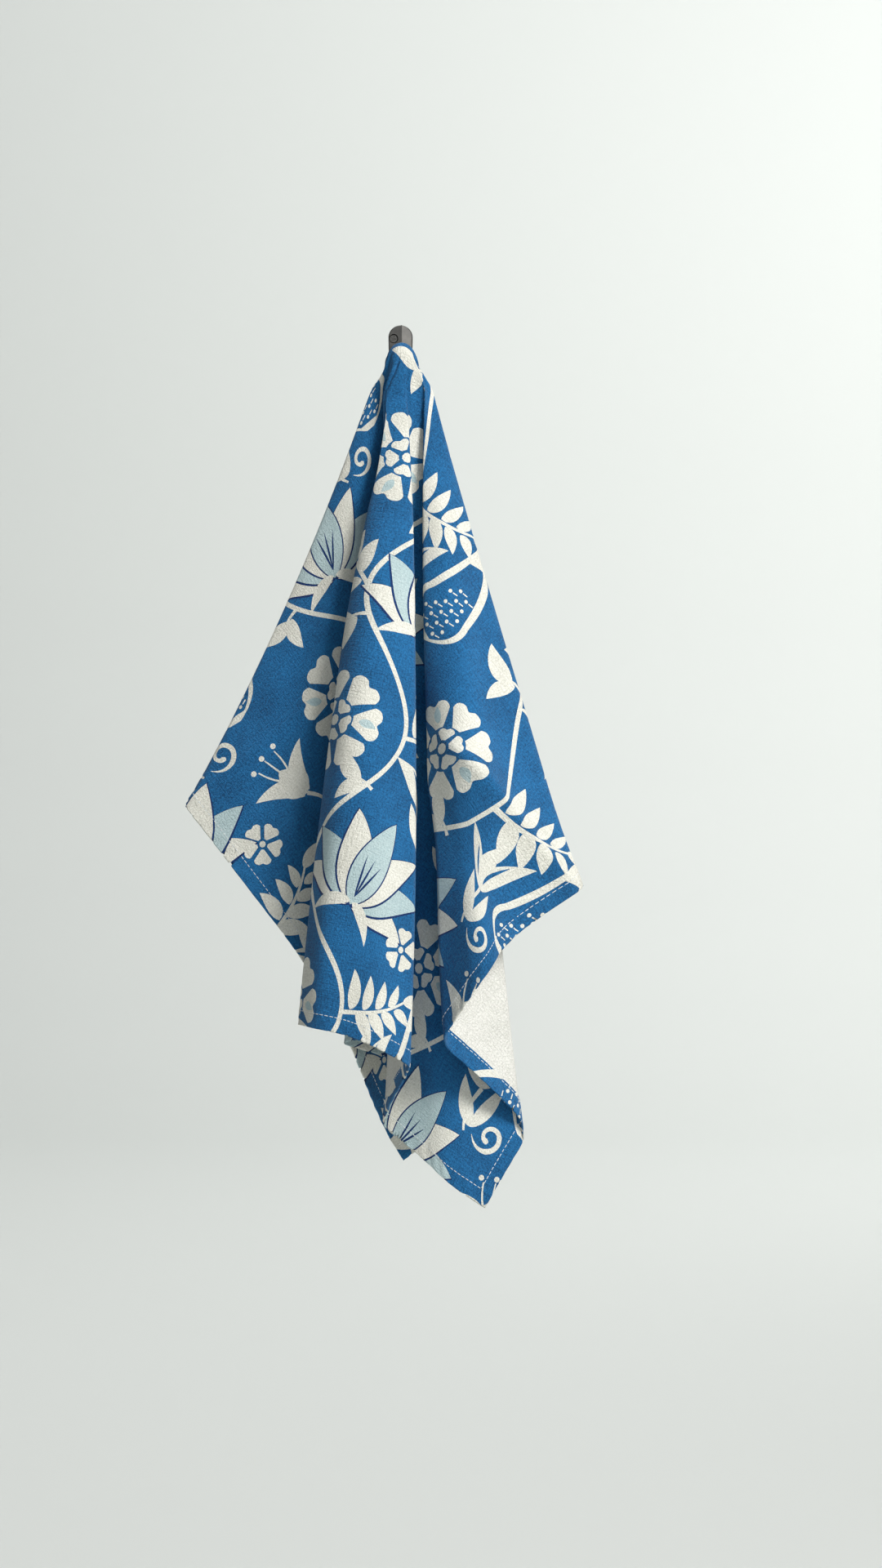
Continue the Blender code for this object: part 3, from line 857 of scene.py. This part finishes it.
THREAD = 0.0007                         # from one thread to the next
THREAD_TURNS = 2 * math.pi / THREAD


def cotton(name, light, dark, grain=1.0):
    """Crepe-woven cotton in one ink: small pebbles with fine creases between them, thicker threads
    both ways, and faintly uneven dye. Its colour also carries painted light on the raised pebbles
    and painted shade in the creases between them."""
    s = Shader(name, Roughness=0.88, Sheen_Weight=0.1, Sheen_Roughness=0.5,
               Specular_IOR_Level=0.25)
    flat = s.add("ShaderNodeUVMap", {"uv_map": "Cloth"})
    across, along = (s.add("ShaderNodeSeparateXYZ", None, [flat], out) for out in ("X", "Y"))
    threads = (across * THREAD_TURNS).sine() * (along * THREAD_TURNS).sine()

    def noise(x, y, detail):
        place = s.add("ShaderNodeMapping", values=[flat], Scale=(x, y, 1))
        return s.add("ShaderNodeTexNoise", {"noise_dimensions": "2D"}, Vector=place, Scale=1.0,
                     Detail=detail)

    slubs = (noise(1300, 90, 2) + noise(80, 1300, 2) - 1.0) * 2.0
    sway = s.add("ShaderNodeTexNoise", {"noise_dimensions": "2D"}, out="Color", Vector=flat,
                 Scale=300.0)
    swayed = s.add("ShaderNodeVectorMath", {"operation": "MULTIPLY_ADD"},
                   [sway, (0.0024, 0.0024, 0), flat])
    cell_edge = s.add("ShaderNodeTexVoronoi", {"feature": "DISTANCE_TO_EDGE",
                                               "voronoi_dimensions": "2D"},
                      Vector=swayed, Scale=440.0)
    creases = s.add("ShaderNodeClamp", None, [1.0 - cell_edge * 5.0])
    pebbles = noise(620, 620, 2) - 0.5
    specks = noise(1500, 1500, 1) - 0.5
    dye = noise(26, 31, 3) - 0.5
    # The tone is painted light on the raised pebbles and painted shade in the creases between them;
    # the slubs, specks and dye vary the ink itself.
    tone = (0.60 + slubs * 0.35 + pebbles * 1.1 + specks * 1.1 + dye * 0.8
            - creases * 0.26 * grain)
    height = threads * 0.2 + slubs * 0.6 + pebbles * 1.7 + specks * 0.8 - creases * 0.6 * grain
    bump = s.add("ShaderNodeBump", None, Strength=0.6, Distance=0.0006, Height=height)
    clamp = s.add("ShaderNodeClamp", None, [tone])
    return s.finish(s.mix(clamp, rgb(*dark), rgb(*light)), normal=bump)


def cloth_materials():
    """The four inks in the order of INKS, and the unprinted back."""
    return [cotton("printed_ground", (35, 117, 176), (16, 72, 116)),
            cotton("printed_cream", (244, 243, 234), (210, 209, 198)),
            cotton("printed_teal", (198, 217, 219), (166, 190, 195)),
            cotton("printed_navy", (26, 64, 122), (10, 36, 82)),
            cotton("unprinted_back", (244, 243, 238), (208, 208, 201), grain=1.4)]


def thread():
    """Off-white sewing thread."""
    s = Shader("sewing_thread", Roughness=0.6, Sheen_Weight=0.2)
    place = s.add("ShaderNodeTexCoord", out="Object")
    noise = s.add("ShaderNodeTexNoise", None, Vector=place, Scale=900.0)
    return s.finish(s.mix(noise, rgb(206, 212, 214), rgb(240, 242, 242)))


def gunmetal():
    """Blackened steel: dark, a little uneven, brighter where it is rubbed."""
    s = Shader("gunmetal", Metallic=0.85, Roughness=0.42)
    place = s.add("ShaderNodeTexCoord", out="Object")
    cloud = s.add("ShaderNodeTexNoise", None, Vector=place, Scale=160.0, Detail=4.0)
    grain = s.add("ShaderNodeTexNoise", None, Vector=place, Scale=2600.0, Detail=2.0)
    bump = s.add("ShaderNodeBump", None, Strength=0.25, Distance=0.0002, Height=grain)
    return s.finish(s.mix(cloud, rgb(92, 91, 90), rgb(140, 138, 134)),
                    roughness=cloud * 0.3 + 0.28, normal=bump)


def screw_steel():
    """Dull steel, blackened where dirt lies, with bright rubbed spots."""
    s = Shader("screw_steel", Metallic=0.95, Roughness=0.35)
    place = s.add("ShaderNodeTexCoord", out="Object")
    cloud = s.add("ShaderNodeTexNoise", None, Vector=place, Scale=900.0, Detail=3.0)
    return s.finish(s.mix(cloud, rgb(58, 57, 55), rgb(138, 136, 132)),
                    roughness=cloud * 0.3 + 0.2)


# ---------------------------------------------------------------- pieces

def piece(name, mesh, *materials):
    """An object that belongs to the part."""
    ob = bpy.data.objects.new(name, mesh)
    bpy.context.scene.collection.objects.link(ob)
    for mat in materials:
        mesh.materials.append(mat)
    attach(ob, "root")
    return ob


STITCH_PITCH, STITCH_LONG, STITCH_HALF_WIDE = 0.0036, 0.0027, 0.00022
STITCH_SUNK, STITCH_ENDS, STITCH_HIGH = -0.00015, 0.00003, 0.00019      # off the cloth's face


def one_stitch():
    """A padded dash: -1 to 1 along it and across it, and from 0 at its foot to 1 at its top."""
    bm = bmesh.new()
    bmesh.ops.create_grid(bm, x_segments=3, y_segments=1, size=1)
    for v in bm.verts:
        if abs(v.co.x) < 0.9:
            v.co.x *= 1.5
        else:
            v.co.y *= 0.5
    grown = bmesh.ops.extrude_face_region(bm, geom=bm.faces[:])["geom"]
    bmesh.ops.translate(bm, verts=[g for g in grown if isinstance(g, bmesh.types.BMVert)],
                        vec=(0, 0, 1))
    mesh = bpy.data.meshes.new("one_stitch")
    bm.to_mesh(mesh)
    bm.free()
    return mesh


def seam():
    """The middle of each stitch of the hems on the flat cloth, and the way it points."""
    left, right = -CUT_LEFT + STITCH_LINE, CUT_RIGHT - STITCH_LINE
    down, up = -CUT_DOWN + STITCH_LINE, CUT_UP - STITCH_LINE
    corners = np.array(((left, down), (right, down), (right, up), (left, up)))
    middles, ways = [], []
    for a, b in zip(corners, np.roll(corners, -1, axis=0)):
        long = np.linalg.norm(b - a)
        count = int(long / STITCH_PITCH)
        middles += [a + (b - a) * (k + 0.5) / count for k in range(count)]
        ways += [(b - a) / long] * count
    return np.array(middles), np.array(ways)


def stitches(hang):
    """The running seam of the hems, on both faces: copies of one stitch laid on the cloth."""
    middles, ways = seam()
    stitch = one_stitch()
    shape = np.array([v.co for v in stitch.vertices])
    asides = np.stack([-ways[:, 1], ways[:, 0]], 1)
    flat = (middles[:, None] + ways[:, None] * shape[:, :1] * STITCH_LONG / 2
            + asides[:, None] * shape[:, 1:2] * STITCH_HALF_WIDE).reshape(-1, 2)
    top = np.where(np.abs(shape[:, 0]) < 0.9, STITCH_HIGH, STITCH_ENDS)
    height = np.tile(np.where(shape[:, 2] > 0.5, top, STITCH_SUNK), len(middles))[:, None]
    place, _, _, out = hang.lay(flat)
    bm = bmesh.new()
    for _ in range(2 * len(middles)):
        bm.from_mesh(stitch)
    laid = np.vstack([place + out * (HALF_CLOTH + height), place - out * (HEM_BACK + height)])
    for vert, at in zip(bm.verts, laid):
        vert.co = at
    bmesh.ops.recalc_face_normals(bm, faces=bm.faces)
    mesh = bpy.data.meshes.new("stitching")
    bm.to_mesh(mesh)
    bm.free()
    bpy.data.meshes.remove(stitch)
    mesh.shade_smooth()
    return mesh


hang = Hang()
towel = piece("towel_sheet", mesh_towel(hang), *cloth_materials())
stitching = piece("hem_stitching", stitches(hang), thread())
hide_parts("towel")

for node, finish in (("hook", gunmetal()), ("screw", screw_steel())):
    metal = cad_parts[node]
    metal.data.materials.clear()
    metal.data.materials.append(finish)

# ---------------------------------------------------------------- studio


def lamp(name, at, aim, size, power, colour):
    """A square soft light, its sides `size` metres and its power in watts."""
    light = bpy.data.lights.new(name, "AREA")
    light.size, light.energy, light.color = size, power, colour
    ob = bpy.data.objects.new(name, light)
    ob.location = at
    ob.rotation_euler = (Vector(aim) - Vector(at)).to_track_quat("-Z", "Y").to_euler()
    bpy.context.scene.collection.objects.link(ob)


FLOOR, FLOOR_HALF_WIDE, FLOOR_NEAR = -1.25, 14.0, -7.0   # its height, half width and near edge
SWEEP_AT, SWEEP_ROUND, SWEEP_TOP = 6.0, 2.0, 9.0        # where it turns up, its radius and top
TOWEL_MIDDLE = (0, 0, -0.3)


def pale_floor():
    """A pale floor that sweeps up far behind the towel."""
    bm = bmesh.new()
    edge = [bm.verts.new((x, FLOOR_NEAR, FLOOR)) for x in (-FLOOR_HALF_WIDE, FLOOR_HALF_WIDE)]
    here, at = [bm.edges.new(edge)], (FLOOR_NEAR, FLOOR)
    profile = ([(SWEEP_AT, FLOOR)]
               + [(SWEEP_AT + SWEEP_ROUND * math.sin(a), FLOOR + SWEEP_ROUND * (1 - math.cos(a)))
                  for a in np.radians((15, 30, 45, 60, 75, 90))]
               + [(SWEEP_AT + SWEEP_ROUND, SWEEP_TOP)])
    for y, z in profile:
        new = bmesh.ops.extrude_edge_only(bm, edges=here)["geom"]
        verts = [g for g in new if isinstance(g, bmesh.types.BMVert)]
        bmesh.ops.translate(bm, verts=verts, vec=(0, y - at[0], z - at[1]))
        here, at = [g for g in new if isinstance(g, bmesh.types.BMEdge)], (y, z)
    bmesh.ops.recalc_face_normals(bm, faces=bm.faces)
    mesh = bpy.data.meshes.new("floor")
    bm.to_mesh(mesh)
    bm.free()
    mesh.shade_smooth()
    s = Shader("pale_floor", Roughness=0.9)
    s.surface.inputs["Base Color"].default_value = rgb(225, 228, 225)
    mesh.materials.append(s.material)
    floor = bpy.data.objects.new("floor", mesh)
    bpy.context.scene.collection.objects.link(floor)


def studio():
    """A soft main light from the upper right, a weak fill, two lights on the sweep, and a sky."""
    lamp("main_light", (1.85, -2.1, 1.65), TOWEL_MIDDLE, 1.1, 122, (1, 0.985, 0.96))
    lamp("fill_light", (0.2, -3.4, 0.5), TOWEL_MIDDLE, 2.4, 11, (0.95, 0.98, 1))
    lamp("sweep_light", (0.5, 1.5, 5.0), (0.3, 7.5, 0.8), 4.0, 250, (1, 1, 0.99))
    lamp("side_sweep_light", (3.6, 4.2, 2.2), (1.1, 8.0, 1.3), 2.0, 120, (1, 1, 0.99))
    world = bpy.data.worlds.new("studio")
    world.use_nodes = True
    sky = world.node_tree.nodes["Background"].inputs
    sky["Color"].default_value, sky["Strength"].default_value = (0.88, 0.93, 0.95, 1), 0.17
    bpy.context.scene.world = world
    bpy.context.scene.view_settings.view_transform = "Standard"


CAMERA_AT = (0.0291, -2.2, HANG.z - 0.3132)     # level with the middle of the towel


def camera():
    """A level camera straight in front of the wall."""
    cam = bpy.data.cameras.new("camera")
    cam.sensor_fit, cam.sensor_height, cam.lens = "VERTICAL", 36.0, 70.1
    ob = bpy.data.objects.new("camera", cam)
    ob.location = CAMERA_AT
    ob.rotation_euler = (math.radians(90), 0, 0)
    bpy.context.scene.collection.objects.link(ob)
    bpy.context.scene.camera = ob


pale_floor()
studio()
camera()
